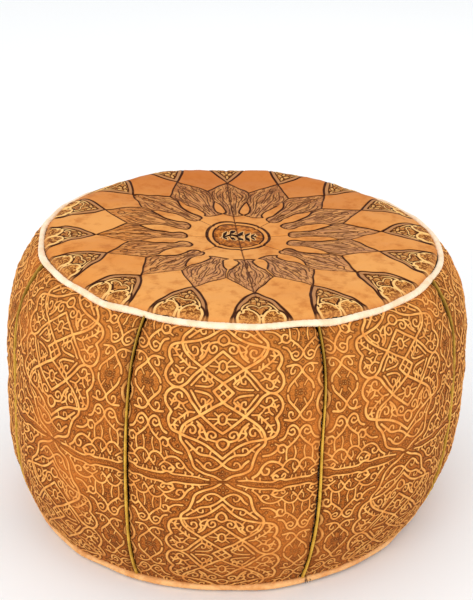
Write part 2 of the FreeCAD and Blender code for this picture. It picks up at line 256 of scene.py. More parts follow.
# Raised strokes of the quarter, from the middle of the lattice: a half width, then the strokes that have it
SIDE_STROKES = [
    # lattice diamond
    (BAND, [(0, 10), (9.5, 0)]),
    (1.0, [(0, 0), (4.75, 5)]),
    # the two bands that cross between the lattice, the flower and the lobes
    (BAND, [(0, 10), (10, 16.5), (20.5, 24), (30, 31), (37.5, 39), (40.5, 48)],
     [(0, 42), (10, 33.3), (20.5, 24), (30, 13.5), (36.5, 4.5), (43, 0)]),
    # lobed outline
    (BAND, [(43, 0), (49, 0.8), (54, 5.5), (56.3, 13), (54.3, 20.5), (50, 26.5)],
     [(50, 26.5), (52.6, 33), (52.2, 39.5), (48.5, 45), (40.5, 48)]),
    # flower with rays
    (SPRIG, [(0, 21), (3.2, 23.5), (3.8, 27), (2.8, 30.8), (0, 32.4)]),
    (VEIN, [(5, 26.7), (9, 26.9), (13, 27)], [(4.6, 30), (7.6, 32.8)], [(4.3, 23.4), (7.4, 20.6)]),
    # ring and its shoulders
    (1.2, [(0, 48.3), (4.2, 50.5), (5.2, 54), (3.4, 58), (0, 60.6)],
     [(4.6, 51.5), (9, 50.8), (13.2, 48.8), (15.6, 43.5), (18.8, 36.5), (24, 31.5)]),
    (SPRIG, [(14.5, 45.5), (12.8, 41), (9.6, 40), (6.6, 42.4), (6.6, 46), (9.4, 47.2), (10.6, 44.6)]),
    # curled sprigs beside the ring
    (SPRIG,
     [(37, 46), (34.5, 40.5), (30.5, 36.4), (26.6, 37), (25, 40.8), (26.6, 44.6), (30, 44.4), (30.2, 41.4)],
     [(14.5, 50.5), (19.5, 47.2), (21.8, 43), (20.6, 38.8), (23.2, 35)]),
    (VEIN, [(30.5, 36.4), (28.4, 32.9)], [(21.8, 43), (17.8, 41.6)], [(20.6, 46), (22.8, 49.8)],
     [(34.5, 40.5), (35.6, 37.2)]),
    # pointed arch over the ring
    (BAND, [(40.5, 48), (33, 49.8), (24, 52), (14.3, 56.8), (5.6, 64.6), (0, 70.5)]),
    # leaf strands that cross above the arch
    (1.2, [(34, 54), (26.5, 60.5), (21, 65.4), (12, 67), (5.6, 71), (0, 77)],
     [(0, 77), (5.4, 81.2), (11.4, 82.8), (17, 80), (20.4, 75), (24, 71.8)]),
    (VEIN, [(17, 80), (15.3, 75.6), (12, 74.4), (10.6, 77.2)],
     [(24, 63), (21.8, 59), (18.4, 59.4), (18.4, 62.6)], [(11.6, 67), (10.4, 62.8)],
     [(26.5, 60.5), (29.2, 62.6)]),
    # outer boundary of the medallion
    (BAND,
     [(40.5, 48), (38.8, 54.5), (32, 62.5), (28.6, 71.5), (26.4, 80.5), (19.5, 86), (8.6, 91), (0, 98)]),
    # coral sprig in the upper lobe
    (SPRIG, [(27, 22.6), (33.2, 23.4), (38.6, 28.6), (44, 34.2), (46.8, 39.4), (44.8, 44)]),
    (VEIN, [(33.2, 23.4), (36.4, 20.2)], [(33.2, 23.4), (33.4, 27.8)], [(38.6, 28.6), (42.6, 26.6)],
     [(36.4, 26.6), (36.6, 31.4)], [(44, 34.2), (48.8, 33.4)], [(42.2, 32.4), (40.6, 37)],
     [(46.8, 39.4), (49.4, 41.2)], [(46.8, 39.4), (42.6, 40.4)]),
    # coral sprig in the lower lobe
    (SPRIG, [(34.6, 13), (39.4, 15.6), (44.6, 13.6), (49, 15.4), (52, 12.6)],
     [(44.6, 13.6), (46.8, 9), (44.6, 5), (40.8, 5.8), (40, 9.4)], [(42, 15), (43.6, 20), (46.8, 23)]),
    (VEIN, [(43.6, 20), (39.4, 21.4)], [(49, 15.4), (50.6, 19.4)], [(46.6, 8.4), (50.4, 6.8)],
     [(39.4, 15.6), (37.4, 19)], [(49, 15.4), (48, 11.4)]),
    # leaf, comb and curl between the lattice and the lobes
    (1.1, [(32, 2.6), (27.6, 8.6), (24.2, 13.6), (20.6, 17), (16.6, 14.4), (12.6, 12.2), (9.8, 9.2)]),
    (VEIN, [(20.6, 17), (20.8, 20.6)], [(15.6, 13.8), (15.8, 17.6)], [(12, 12), (11, 15.2)]),
    (1.1, [(27.4, 2.6), (21, 3), (14.6, 4), (10.4, 7)]),
    (VEIN, [(16.8, 13.8), (17.4, 9.8), (20.6, 9), (20.8, 12)], [(13, 8.6), (15, 11.4)]),
    # lens between two medallions, with its corner strokes
    (BAND, [(61.6, 2.2), (63.4, 7.4), (68.6, 12.6), (74, 17.4), (78, 22)]),
    (VEIN, [(69.6, 12.6), (73.6, 6.4)]),
    # fork above the lens, with hanging curls
    (1.25, [(78, 22), (74.6, 27), (68.6, 29.6), (58.6, 28.6)]),
    (SPRIG, [(66.8, 29), (63.6, 24.4), (64.6, 20.4), (68.4, 20.6), (68.8, 23.6)]),
    # heart and its inner spirals
    (1.25, [(78, 44), (75.8, 38.4), (70.2, 34.8), (64.8, 36.8), (61.8, 43), (58.4, 47.4), (53.8, 49.6)]),
    (SPRIG, [(63.6, 42.6), (68.2, 44.6), (72, 42.4), (70.2, 38.8), (66.8, 40)]),
    # roof over the heart, ending in curls
    (1.25, [(78, 44), (73.4, 49.4), (67.4, 54), (61.8, 57.4), (57.4, 54.4), (52.8, 56), (51.6, 60)]),
    (SPRIG, [(51.6, 60), (53.8, 63.4), (57.4, 62.4), (57, 59.4)]),
    (VEIN, [(52.8, 56), (49.4, 53.6)]),
    (1.15, [(51.6, 60), (47.6, 64), (43.6, 66.2), (37.6, 66.8)]),
    (VEIN, [(66.4, 54.6), (64, 50.6)]),
    # pillars
    (1.2, [(61.8, 57.4), (60.6, 63), (60.6, 71.6)]),
    (1.1, [(71.2, 56.6), (72.4, 63), (70.6, 71)]),
    # scallops over the pillars
    (1.2, [(57, 78.4), (60.4, 74.6), (65.6, 71.8), (71, 72), (75.2, 74.2), (78, 78)],
     [(28.6, 89.6), (34, 84.6), (38.6, 76.4), (44.6, 73), (51.4, 74.2), (57, 78.4)]),
    (SPRIG, [(36, 80.6), (38.6, 85), (43, 85), (44, 81), (41.4, 79.4)]),
    (VEIN, [(52.8, 74.6), (54.6, 68.6)]),
    (SPRIG, [(46.4, 86.6), (51, 82.6), (56, 81.2), (60, 83), (64.4, 86.4)]),
    (VEIN, [(56, 81.2), (57, 78.4)]),
    (SPRIG, [(78, 78), (75.8, 82.4), (71.4, 86.4)]),
    (VEIN, [(69.8, 76.8), (69.6, 81.8), (73.4, 84.2), (74.8, 81)]),
    # stems along the edge of the plate
    (1.1, [(14, 95.6), (24, 93.4), (36, 93), (47, 93.6), (54.4, 91.4), (62, 93.6), (78, 93.4)]),
    (VEIN, [(24, 93.4), (22, 89.6)], [(30, 93.2), (28.6, 89)], [(36, 93), (35.4, 88.6)]),
    (SPRIG, [(54.4, 91.4), (49.6, 91), (47.8, 88), (50.4, 86.4), (52.6, 88.4)],
     [(54.4, 91.4), (59.2, 91), (61, 88), (58.4, 86.4), (56.4, 88.4)]),
    (VEIN, [(68, 93.5), (69.4, 89.4)], [(74.4, 93.4), (74, 89.4)]),
]
SIDE_DOTS = [
    (0, 85), (3.8, 87.4), (0, 90.4), (76.6, 1.4), (75.8, 11.6), (72, 2), (58.6, 10.6), (62, 41), (46, 55),
    (52, 69), (34, 74), (60, 34), (62, 17), (30, 57), (66, 90.4), (74.6, 53.6), (78, 64), (42, 60.5),
    (48, 79), (20, 91), (78, 14), (63, 3), (78, 32), (66.2, 64.5), (71, 48.4), (58, 24), (75, 59),
    (36.5, 88.8), (65.5, 79.5),
]

# The top has sixteen rays, two to a panel, whose tips lie on one circle
RAY = SECTOR / 2
TIP_R = 153.0
# Half of one ray, from its inner cap to its tip: across, and out from the centre
FLARED_RAY = [(0, 55.5), (6, 56), (10.6, 57.4), (8.8, 60.4), (7.4, 64), (8.2, 70), (10.6, 78), (14.4, 86),
              (18.2, 92)]
FINGER_RAY = [(0, 54), (5, 55), (8, 59), (8.4, 64), (7.2, 70), (7.8, 78), (10.4, 88), (15, 97), (20.6, 104)]
# Where a ray touches the next one
TOUCH = (23.2, 117.6)
# Half of one arch from its tip to the rim: the outer line and the line within it
ARCH_OUT = [(0, TIP_R), (7.4, 161.5), (14.4, 171), (20.4, 182), (25.4, 194), (29.2, 206), (30.6, 216)]
ARCH_IN = [(0, 161.4), (6, 168.4), (11.8, 176.6), (16.8, 186), (20.8, 196), (24.2, 207), (25.4, 216)]


def pattern_column(u):
    """The place across the repeat; between two medallions the motifs stand closer than they are drawn."""
    u = fold(u, HALF_REPEAT)
    outer = SQUEEZE_FROM + (u - SQUEEZE_FROM) * (CELL_X - SQUEEZE_FROM) / (HALF_REPEAT - SQUEEZE_FROM)
    return np.where(u > SQUEEZE_FROM, outer, u)


def side_field():
    field = Field((0, 0), (CELL_X, CELL_Y))
    for half_width, *strokes in SIDE_STROKES:
        for points in strokes:
            field.stroke(half_width, points)
    for point in SIDE_DOTS:
        field.dot(0.75, point)
    return field


RAY_LOW, RAY_HIGH = (0, 40), (46, 216)

# Half of the strands that are cut into each ray, between its cap and its tip
STRANDS = [
    [(1.2, 94), (1.4, 108), (2.6, 119), (1.8, 128)],
    [(3.2, 60), (3.4, 71), (4.6, 84), (7.6, 97), (7.8, 110), (5.2, 121)],
    [(6.4, 78), (9.4, 90), (13.2, 100), (14.2, 111), (10.6, 122), (8, 129)],
    [(13, 92), (17.6, 102), (19.2, 112), (15.2, 121)],
    [(10.6, 103), (11, 109), (9.4, 113)],
    [(0, 66), (1.6, 74), (0.4, 82)],
]


def ray_fields(side):
    """Half of one of the top's sixteen rays: its dark lines, the ray itself, and the strands cut into it."""
    lines, ray, strand = (Field(RAY_LOW, RAY_HIGH) for _ in range(3))
    for field, outline, joint in ((lines, 0.9, 0.4), (ray, 0.0, 0.0)):
        field.stroke(outline, side)
        field.stroke(outline * 0.9, [TOUCH, (0, TIP_R)], curved=False)
        field.stroke(joint, [side[-1], TOUCH])
    ray.negate_inside(np.vstack([smooth(side), [TOUCH, (0, TIP_R)]]))
    for points in STRANDS:
        strand.stroke(0.65, points)
    turn = np.linspace(0, math.pi, 13)
    strand.stroke(0.6, np.stack([3.4 * np.sin(turn), 133.5 - 4.2 * np.cos(turn)], 1), curved=False)
    return lines, ray, strand


def arch_fields():
    """Half of an arch outside the rays: its dark lines, the arch, and its cream petals and lobes."""
    lines, arch, lobe = (Field(RAY_LOW, RAY_HIGH) for _ in range(3))
    lines.stroke(1.2, ARCH_OUT)
    lines.stroke(0.5, ARCH_IN)
    arch.stroke(0.0, ARCH_OUT)
    arch.negate_inside(np.vstack([smooth(ARCH_OUT), [(0, 216)]]))
    # four petals near the tip, each with a dark edge
    for start, end in (((0, 165.4), (0, 168)), ((2.8, 171), (5.2, 172.4)), ((0, 174.6), (0, 177.6))):
        lines.stroke(2.3, [start, end], curved=False)
        lobe.stroke(1.4, [start, end], curved=False)
    # scroll and leaf between the petals and the lobes
    for width, drawn in ((1.6, lines), (0.75, lobe)):
        drawn.stroke(width, [(0, 183), (4.6, 181.4), (9, 182), (11.4, 185.4), (9.2, 187.4)])
        drawn.stroke(width, [(8.6, 176), (12.4, 180.6), (16, 186.4), (18.4, 193)])
    # two tall cream lobes at the rim with a dark outline, crossed where they meet
    centre, size = np.array([12.2, 203.0]), np.array([11.8, 14.5])
    turn = np.linspace(0, TURN, 49)
    oval = centre + size * np.stack([np.cos(turn), np.sin(turn)], 1)
    lines.stroke(0.9, centre + (oval - centre) * 1.11, curved=False)
    lobe.stroke(0.0, oval, curved=False)
    lobe.negate_inside(oval[:-1])
    for start, end in (((0, 194.5), (4.6, 201.5)), ((0, 201.5), (4.6, 194.5))):
        lobe.stroke(0.9, [start, end], curved=False)
    return lines, arch, lobe


def medal_field():
    """A small generic motif for the middle of the top: one leafy branch, drawn across."""
    field = Field((-34, -34), (34, 34))
    field.stroke(0.8, [(-19, -3), (-9, 1.4), (0, 0.6), (10, -1.2), (19, 2.6)])
    for x, y, size in ((-16, -1.4, 0.9), (-8.5, 1.2, 1.2), (-0.5, 0.7, 1.3), (7.5, -0.6, 1.1), (14, 0, 0.8)):
        for way in (-1, 1):
            root, tip = np.array([x, y + way]), np.array([x + 4.4 * size, y + way * 9.4 * size])
            for share, width in ((0.25, 1.5), (0.5, 2.2), (0.75, 1.5)):
                field.dot(width * size, root + share * (tip - root))
            field.stroke(0.7, [root, tip], curved=False)
    return field


# --- meshes ---

def piece(name, points, faces, material, replaced=()):
    """A new piece from points in millimetres, which rides on the cover."""
    mesh = bpy.data.meshes.new(name)
    mesh.from_pydata(np.asarray(points).reshape(-1, 3) * MM, [], faces)
    mesh.polygons.foreach_set("use_smooth", [True] * len(mesh.polygons))
    mesh.materials.append(material)
    obj = bpy.data.objects.new(name, mesh)
    bpy.context.scene.collection.objects.link(obj)
    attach(obj, "cover")
    if replaced:
        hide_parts(*replaced)
    return obj


def grid_faces(rows, columns, wrap_rows=False, wrap_columns=False, first=0):
    index = first + np.arange(rows * columns).reshape(rows, columns)
    if wrap_rows:
        index = np.vstack([index, index[:1]])
    if wrap_columns:
        index = np.hstack([index, index[:, :1]])
    corners = [index[:-1, :-1], index[:-1, 1:], index[1:, 1:], index[1:, :-1]]
    return np.stack(corners, -1).reshape(-1, 4).tolist()


def paint_values(obj, **values):
    """Numbers or vectors for each vertex, which the materials read by name."""
    for name, value in values.items():
        value = np.ascontiguousarray(value, dtype=np.float32)
        count = len(obj.data.vertices)
        if value.size == count:
            obj.data.attributes.new(name, "FLOAT", "POINT").data.foreach_set("value", value.ravel())
        else:
            obj.data.attributes.new(name, "FLOAT_VECTOR", "POINT").data.foreach_set("vector", value.ravel())


def unwrap(obj, u, v):
    """A flat map of the piece, used when its materials are baked."""
    layer = obj.data.uv_layers.new(name="OFBake")
    corners = np.empty(len(obj.data.loops), dtype=np.int32)
    obj.data.loops.foreach_get("vertex_index", corners)
    flat = np.stack([u.ravel(), v.ravel()], 1)[corners]
    layer.data.foreach_set("uv", (0.01 + 0.98 * flat).ravel().astype(np.float32))


def tube(path, radius, sides, closed=False, first=0, up=(0, 0, 1)):
    """Points and faces of a tube round a path; its ends are capped unless it is closed."""
    path = np.asarray(path, float)
    around = np.roll(path, -1, 0) - np.roll(path, 1, 0) if closed else np.gradient(path, axis=0)
    along = around / np.linalg.norm(around, axis=1, keepdims=True)
    side = np.cross(along, up)
    side /= np.maximum(np.linalg.norm(side, axis=1, keepdims=True), 1e-9)
    over = np.cross(side, along)
    turn = np.linspace(0, TURN, sides, endpoint=False)
    ring = np.cos(turn)[None, :, None] * side[:, None] + np.sin(turn)[None, :, None] * over[:, None]
    points = path[:, None] + radius * ring
    faces = grid_faces(len(path), sides, wrap_rows=closed, wrap_columns=True, first=first)
    if not closed:
        last = first + (len(path) - 1) * sides
        faces.append(list(range(first, first + sides)))
        faces.append(list(range(last + sides - 1, last - 1, -1)))
    return points.reshape(-1, 3), faces


def tubes(paths, radius, sides=6, closed=False):
    """Points and faces of many tubes in one mesh."""
    points, faces, first = [], [], 0
    for path in paths:
        some, more = tube(path, radius, sides, closed, first)
        points.append(some)
        faces += more
        first += len(some)
    return np.vstack(points), faces


# --- materials ---

def rgb(red, green, blue):
    """A screen colour from 0 to 255 as the light that a shader takes."""
    parts = (part / 255 for part in (red, green, blue))
    return (*(part / 12.92 if part < 0.0404 else ((part + 0.055) / 1.055) ** 2.4 for part in parts), 1.0)


class Paint:
    """A Principled material, with short ways of adding nodes."""

    def __init__(self, name, values=None):
        self.material = bpy.data.materials.new(name)
        self.material.use_nodes = True
        self.tree = self.material.node_tree
        self.shader = self.tree.nodes["Principled BSDF"]
        for socket, value in (values or {}).items():
            self.shader.inputs[socket].default_value = value
        self.place = self.add("ShaderNodeTexCoord", output="Object")

    def add(self, kind, inputs=None, output=0, **settings):
        node = self.tree.nodes.new(kind)
        for key, value in settings.items():
            setattr(node, key, value)
        for key, value in (inputs or {}).items():
            self.feed(node.inputs[key], value)
        return node.outputs[output]

    def feed(self, socket, value):
        if isinstance(value, bpy.types.NodeSocket):
            self.tree.links.new(value, socket)
        else:
            socket.default_value = value

    def value(self, name):
        return self.add("ShaderNodeAttribute", output="Fac", attribute_name=name)

    def vector(self, name):
        return self.add("ShaderNodeAttribute", output="Vector", attribute_name=name)

    def band(self, value, low, high):
        """0 below low and 1 above high, or the other way round if low is the larger."""
        inputs = {"Value": value, "From Min": low, "From Max": high}
        return self.add("ShaderNodeMapRange", inputs, interpolation_type="SMOOTHSTEP")

    def math(self, operation, first, second=0.0):
        return self.add("ShaderNodeMath", {0: first, 1: second}, operation=operation)

    def mix(self, share, first, second):
        inputs = {0: share, 6: first, 7: second}
        return self.add("ShaderNodeMix", inputs, output=2, data_type="RGBA")

    def lay(self, under, over, value, low, high, share=1.0):
        """Lays a colour over another, from none of it at low to the given share at high."""
        strength = self.band(value, low, high)
        if share < 1:
            strength = self.math("MULTIPLY", strength, share)
        return self.mix(strength, under, over)

    def noise(self, size, detail=3.0, roughness=0.55, distortion=0.0, vector=None):
        """Noise whose features are about size millimetres wide."""
        inputs = {"Vector": self.place if vector is None else vector, "Scale": 1 / (size * MM),
                  "Detail": detail, "Roughness": roughness, "Distortion": distortion}
        return self.add("ShaderNodeTexNoise", inputs, output="Fac")

    def cells(self, size):
        inputs = {"Vector": self.place, "Scale": 1 / (size * MM)}
        return self.add("ShaderNodeTexVoronoi", inputs, output="Distance")

    def bump(self, height, depth, under=None):
        """Fine relief: a height of 1 stands depth millimetres proud."""
        inputs = {"Height": height, "Distance": depth * MM, "Strength": 1.0}
        if under is not None:
            inputs["Normal"] = under
        return self.add("ShaderNodeBump", inputs, output="Normal")

    def finish(self, colour, roughness=None, normal=None):
        self.feed(self.shader.inputs["Base Color"], colour)
        if roughness is not None:
            self.feed(self.shader.inputs["Roughness"], roughness)
        if normal is not None:
            self.feed(self.shader.inputs["Normal"], normal)
        return self.material


def side_leather_paint():
    """Brown embossed leather: pale raised lines on a stippled ground, with dark ditches beside them."""
    p = Paint("embossed_leather", {"Specular IOR Level": 0.12})
    relief, edge, height = p.value("relief"), p.value("edge"), p.value("height")
    grain, mottle, patches = p.noise(1.4, 3, 0.65), p.noise(9, 3), p.noise(95, 2, 0.5)
    ground = p.mix(p.band(grain, 0.34, 0.64), rgb(110, 52, 10), rgb(184, 104, 36))
    ground = p.lay(ground, rgb(182, 102, 34), mottle, 0.4, 0.75, 0.45)
    ground = p.lay(ground, rgb(220, 142, 66), p.cells(2.0), 0.34, 0.2, 0.55)
    # painted highlight: the upper shoulder is lighter and yellower, as light from above falls on it
    ground = p.lay(ground, rgb(216, 140, 62), height, 205.0, 285.0, 0.35)
    ground = p.lay(ground, rgb(76, 32, 4), relief, 2.2, 0.4, 0.8)
    raised = p.mix(p.band(mottle, 0.3, 0.7), rgb(220, 142, 66), rgb(246, 180, 98))
    colour = p.lay(ground, raised, relief, 0.35, -0.6)
    colour = p.lay(colour, rgb(222, 128, 50), patches, 0.5, 0.72, 0.35)
    colour = p.lay(colour, rgb(122, 66, 30), height, 150.0, 20.0, 0.25)
    colour = p.lay(colour, rgb(72, 32, 6), p.value("plate"), 1.5, 0.3, 0.4)
    # painted shade: darker towards the seams and the rims, darkest right at them, where the edges roll under
    # the welts and pipings
    colour = p.lay(colour, rgb(98, 48, 12), edge, 10.0, 0.5, 0.5)
    colour = p.lay(colour, rgb(44, 18, 2), edge, 2.0, 0.8)
    pores = p.bump(p.cells(0.8), 0.06, p.bump(grain, 0.15))
    return p.finish(colour, p.band(mottle, -1.6, 1.3), pores)


def plain_colour(p, blotch, back):
    """The smooth tan parts of the top, scuffed, and darker and redder towards the back as painted shade."""
    colour = p.mix(p.band(p.noise(110, 2), 0.35, 0.65), rgb(228, 158, 84), rgb(218, 140, 66))
    colour = p.lay(colour, rgb(182, 104, 44), blotch, 0.46, 0.7, 0.6)
    return p.mix(p.math("MULTIPLY", back, 0.8), colour, rgb(190, 106, 44))


def ray_colour(p, ray, streaks, back):
    """The rays: streaked tan, more orange to the left, and darker olive brown to the back as painted shade.
    """
    loops = p.noise(6.5, 1.0, 0.5, 2.0, p.vector("flow"))
    colour = p.mix(p.band(p.value("left"), 0.1, 0.8), rgb(196, 134, 84), rgb(202, 122, 46))
    colour = p.mix(p.math("MULTIPLY", back, 0.9), colour, rgb(162, 96, 44))
    colour = p.lay(colour, rgb(226, 158, 88), loops, 0.46, 0.58, 0.55)
    thin = p.math("ABSOLUTE", p.math("SUBTRACT", streaks, 0.5))
    colour = p.lay(colour, rgb(84, 40, 12), thin, 0.052, 0.024, 0.7)
    colour = p.lay(colour, rgb(72, 32, 8), p.value("strand"), 0.35, -0.3, 0.85)
    return p.lay(colour, rgb(110, 60, 24), ray, -3.0, -0.6, 0.4)


def arch_colour(p, arch, lobe, rim):
    """The arches: a greyish border, a brown figured field, and cream lobes with a brown middle."""
    figure = p.noise(3.4, 1.5, 0.5, 1.4)
    field = p.mix(p.band(figure, 0.42, 0.52), rgb(104, 54, 16), rgb(194, 126, 60))
    colour = p.lay(field, rgb(182, 126, 78), arch, -4.6, -4.1)
    cream = p.mix(p.band(rim, 34.0, 20.0), rgb(214, 156, 88), rgb(244, 194, 120))
    colour = p.lay(colour, cream, lobe, 0.3, -0.2)
    core = p.mix(p.band(figure, 0.47, 0.58), rgb(122, 64, 16), rgb(218, 150, 74))
    return p.lay(colour, core, lobe, -2.0, -2.6)


def medal_colour(p, motif):
    """The medallion: orange-brown, with a dark branch that has a pale outline."""
    ground = p.mix(p.band(p.noise(5, 4, 0.6), 0.4, 0.6), rgb(204, 122, 46), rgb(124, 66, 20))
    colour = p.lay(ground, rgb(232, 178, 112), motif, 1.3, 0.8)
    return p.lay(colour, rgb(38, 14, 4), motif, 0.3, -0.2)


def top_leather_paint():
    """Tan leather with tooled rays, arches and a medallion, and dark tool lines and seams."""
    p = Paint("tooled_leather", {"Specular IOR Level": 0.07})
    lines, ray, arch, lobe, rim = (p.value(name) for name in ("lines", "ray", "arch", "lobe", "rim"))
    # back drives painted shade: the top grows darker towards the back, away from the light
    back, blotch = p.band(p.value("back"), 0.0, 0.8), p.noise(16, 4, 0.62)
    streaks = p.noise(4.2, 1.0, 0.5, 1.1, p.vector("flow"))
    in_ray = p.band(ray, 0.2, -0.3)
    colour = p.mix(in_ray, plain_colour(p, blotch, back), ray_colour(p, ray, streaks, back))
    colour = p.lay(colour, arch_colour(p, arch, lobe, rim), arch, 0.2, -0.3)
    colour = p.lay(colour, medal_colour(p, p.value("motif")), p.value("oval"), 29.2, 28.6)
    # tool lines and seams, of uneven strength; the cream parts lie over them
    worn = p.band(p.noise(12, 3), 0.2, 0.5)
    worn = p.math("ADD", p.math("MULTIPLY", worn, 0.15), 0.85)
    ink = p.math("MULTIPLY", p.band(lines, 0.5, -0.25), worn)
    ink = p.math("MULTIPLY", ink, p.band(lobe, -0.1, 0.35))
    colour = p.mix(ink, colour, rgb(58, 22, 2))
    seam = p.math("MULTIPLY", p.band(p.value("seam"), 1.1, 0.4), p.band(p.value("radius"), 170.0, 140.0))
    colour = p.mix(p.math("MULTIPLY", seam, 0.85), colour, rgb(80, 36, 8))
    colour = p.lay(colour, rgb(206, 136, 74), rim, 7.0, 1.0, 0.5)
    relief = p.bump(p.math("MULTIPLY", streaks, in_ray), 0.35, p.bump(p.noise(0.9, 3), 0.08))
    return p.finish(colour, p.band(blotch, -1.2, 1.5), relief)


def plain_leather_paint(name, light, dark, roughness):
    """Undyed or dyed smooth leather, a little uneven, and darker where a piece's crease value is high, which
    is mostly painted shade in its creases.
    """
    p = Paint(name, {"Specular IOR Level": 0.18, "Roughness": roughness})
    mottle, grain = p.noise(14, 4, 0.6), p.noise(0.9, 3)
    colour = p.mix(p.band(mottle, 0.38, 0.66), light, dark)
    # painted shade: the crease value darkens a piece towards a deep copy of its dark tone
    shade_colour = (*(part * 0.35 for part in dark[:3]), 1.0)
    colour = p.lay(colour, shade_colour, p.value("crease"), 0.1, 1.0, 0.8)
    return p.finish(colour, None, p.bump(p.cells(1.1), 0.07, p.bump(grain, 0.1)))


def fabric_paint(name, light, dark, pitch):
    """Plain woven cloth with threads of the given pitch."""
    p = Paint(name, {"Roughness": 0.86, "Sheen Weight": 0.25})
    inputs = {"Vector": p.place, "Scale": 1 / (pitch * MM * 3)}
    across = p.add("ShaderNodeTexWave", inputs, output="Fac", bands_direction="X")
    along = p.add("ShaderNodeTexWave", inputs, output="Fac", bands_direction="Y")
    weave = p.math("MULTIPLY", across, along)
    colour = p.mix(p.math("ADD", p.math("MULTIPLY", weave, 0.6), p.band(p.noise(20), 0.3, 1.4)), dark, light)
    return p.finish(colour, None, p.bump(weave, 0.2, p.bump(p.noise(0.7), 0.08)))


def thread_paint(name, light, dark):
    p = Paint(name, {"Roughness": 0.7})
    twist = p.noise(0.6, 2)
    return p.finish(p.mix(p.band(twist, 0.35, 0.65), dark, light), None, p.bump(twist, 0.1))


def brass_paint():
    """Brass with brown tarnish and fine scratches."""
    p = Paint("antique_brass", {"Metallic": 1.0})
    tarnish, scratch = p.noise(3.2, 5, 0.7), p.noise(0.35, 2)
    colour = p.mix(p.band(tarnish, 0.42, 0.66), rgb(214, 178, 110), rgb(126, 94, 52))
    return p.finish(colour, p.band(tarnish, -0.2, 1.5), p.bump(scratch, 0.02))


def nylon_paint():
    p = Paint("zip_nylon", {"Roughness": 0.42})
    colour = p.mix(p.band(p.noise(4), 0.4, 0.6), rgb(84, 56, 36), rgb(58, 36, 22))
    return p.finish(colour, None, p.bump(p.noise(0.4), 0.03))


# --- cover ---

SIDE_ROWS, SIDE_COLUMNS = 356, 232
SIDE_LOW, SIDE_HIGH = 8.0, 298.0
# Middles of the two printed repeats and the edge between them, measured along the leather
UPPER_LATTICE, PLATE_EDGE, LOWER_LATTICE = 246.5, 149.0, 62.0
# The leather shrinks a little towards the top rim
TOP_SHRINK = 0.88
# Spacing of the side seams' stitches
SIDE_STITCH = 4.6


def even_heights(count):
    """Heights on the side that lie equally far apart along the leather, and that spacing's running length."""
    z = np.linspace(SIDE_LOW, SIDE_HIGH, 3000)
    length = np.concatenate([[0], np.cumsum(np.hypot(np.diff(z), np.diff(side_radius(z))))])
    even = np.linspace(0, length[-1], count)
    return np.interp(even, length, z), even


def fullness(z):
    """0 at the rims of the side and 1 halfway up."""
    return np.sin(np.clip((z - SIDE_LOW) / (SIDE_HIGH - SIDE_LOW), 0, 1) * math.pi)


def stitch_pull(along, pitch, seed):
    """0 to 1 with a peak at each stitch of a hand-sewn seam."""
    wander = 0.25 * np.sin(along / 17 + seed) + 0.2 * np.sin(along / 7.3 + 2 * seed)
    return np.clip(np.cos(TURN * (along / pitch + wander)), 0, 1) ** 2


def seam_wander(along, seed):
    """How far a sewn seam strays sideways."""
    return 1.1 * np.sin(along / 61 + seed * 1.7) + 0.6 * np.sin(along / 23 + seed * 2.9)


def side_surface(i, angle, z, length, share):
    """A side panel without its pattern: how far it stands out, and the distances to its seams and rims."""
    base, full = side_radius(z), fullness(z)
    inward = np.minimum(share, 1 - share)
    edge = inward * (angle[:, -1:] - angle[:, :1]) * base
    upper, lower = length[-1] - length[:, None] + 0 * angle, length[:, None] + 0 * angle
    rim = np.minimum(upper, lower)
    belly = 4 * share * (1 - share)
    out = 3.0 * belly * full**0.6 - 2.6 * full**0.5
    # soft dents of the stuffing, and drag folds that run out from the seams
    out += 1.2 * lumps(angle * base, z, 70, 3) * full + 0.35 * lumps(angle * base, z, 19, 5)
    crease = np.exp(-(((z - 150 - 6 * np.sin(angle * 3 + i)) / 7) ** 2)) * (0.4 + 0.6 * belly)
    out -= 1.1 * crease * (0.6 + 0.4 * np.sin(i * 2.4))
    drag = np.exp(-edge / 16) * np.sin(z / 6.5 + 1.8 * np.sin(z / 31 + i) + edge / 9)
    out += 0.5 * drag * full
    # edges roll into the seams, and the stitches pull them
    pull = stitch_pull(length[:, None], SIDE_STITCH, i)
    out -= 3.0 * np.exp(-((edge / 3.2) ** 1.6)) + 0.9 * pull * np.exp(-((edge / 4.4) ** 2))
    out -= 4.0 * np.exp(-((inward * (SIDE_COLUMNS - 1) / 0.8) ** 2))
    gather = stitch_pull(angle * base, 8.5, i + 3)
    out -= 3.0 * np.exp(-((upper / 3.4) ** 2)) + 1.0 * np.exp(-((lower / 3.0) ** 2))
    out -= 0.75 * gather * np.exp(-rim / 8)
    return out, edge, rim


def printed_pattern(i, field, angle, z, length):
    """Distances on a side panel to the raised lines, and to the joint between the two prints of the plate.

    The hide is printed before it is cut, so that the pattern lies a little differently on each panel.
    """
    start = FIRST_WELT + (i - 1) * SECTOR
    slip = 2.4 * math.sin(i * math.pi / 4) - 3.5
    upright = -0.034 * math.sin(start + SECTOR / 2)
    u = (angle - start - SECTOR / 2) * side_radius(z) + slip + upright * (z - LOWER_LATTICE)
    u = u + 0.8 * lumps(u, z, 60, 21)
    run = (length - np.interp(PLATE_EDGE, z[:, 0], length) + PLATE_EDGE)[:, None]
    level = run + 0.8 * lumps(u, z, 55, 23) + 0.02 * u * math.sin(i)
    above = (level - UPPER_LATTICE) * CELL_Y / (UPPER_LATTICE - PLATE_EDGE)
    above = np.where(above > 0, above / TOP_SHRINK, above)
    below = (level - LOWER_LATTICE) * CELL_Y / (PLATE_EDGE - LOWER_LATTICE)
    v = np.where(level > PLATE_EDGE, above, below)
    gap = field.at(pattern_column(u), fold(v, CELL_Y))
    plate = np.abs(level - PLATE_EDGE - 0.8 * np.sin(u / 37))
    return np.where(plate < 1.9, np.maximum(gap, 1.2), gap), plate


